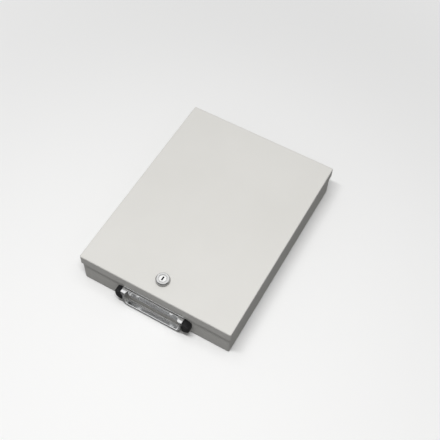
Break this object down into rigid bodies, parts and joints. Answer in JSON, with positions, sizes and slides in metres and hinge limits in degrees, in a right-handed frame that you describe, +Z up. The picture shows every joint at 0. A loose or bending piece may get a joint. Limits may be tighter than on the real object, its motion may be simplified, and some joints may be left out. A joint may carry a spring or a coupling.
{
  "type": "lockable document box",
  "caption": "Flat lockable sheet-steel document box with a hinged skirted lid, a cam lock in the lid and a drop handle on the front, for A4 papers.",
  "frame": {"origin": "centre of the underside of the tray's base, on the surface that the box stands on", "axes": "+X to the right seen from the front, -Y out of the front with the handle, +Z up"},
  "size_m": [0.25, 0.344, 0.0665],
  "materials": {
    "painted_steel": "fine powder coat, light warm grey, satin",
    "chrome_plate": "bright nickel-chrome plate",
    "zinc_plated_steel": "bright zinc plate",
    "black_plastic": "moulded, fine grain",
    "brass_wafer": "stamped"
  },
  "bodies": {
    "box": {"box_body": "painted_steel", "strike": "zinc_plated_steel", "hinge_leaf_body": "painted_steel", "hinge_pin": "zinc_plated_steel", "handle_bracket": "chrome_plate", "bracket_rivets": "chrome_plate", "handle_block_left": "black_plastic", "handle_block_right": "black_plastic", "handle_pin_left": "chrome_plate", "handle_pin_right": "chrome_plate", "block_screws": "zinc_plated_steel", "block_washers": "zinc_plated_steel"},
    "lid": {"lid": "painted_steel", "hinge_leaf_lid": "painted_steel", "lock_collar": "chrome_plate", "lock_housing": "zinc_plated_steel", "lock_washer": "zinc_plated_steel", "lock_nut": "zinc_plated_steel"},
    "lock_core": {"lock_plug": "chrome_plate", "lock_wafers": "brass_wafer", "lock_stop_washer": "zinc_plated_steel", "lock_cam": "zinc_plated_steel", "cam_washer": "zinc_plated_steel", "cam_screw": "zinc_plated_steel"},
    "handle_bail": {"handle_bail": "chrome_plate"}
  },
  "joints": [
    {"name": "lid_hinge", "type": "hinge", "parent": "box", "child": "lid", "pos_m": [0, 0.1675, 0.0392], "axis": [-1, 0, 0], "range_deg": [0, 180]},
    {"name": "lock_turn", "type": "hinge", "parent": "lid", "child": "lock_core", "pos_m": [0, -0.1385, 0.06], "axis": [0, 0, -1], "range_deg": [0, 90]},
    {"name": "handle_swing", "type": "hinge", "parent": "box", "child": "handle_bail", "pos_m": [0, -0.17, 0.029], "axis": [-1, 0, 0], "range_deg": [0, 100]}
  ]
}
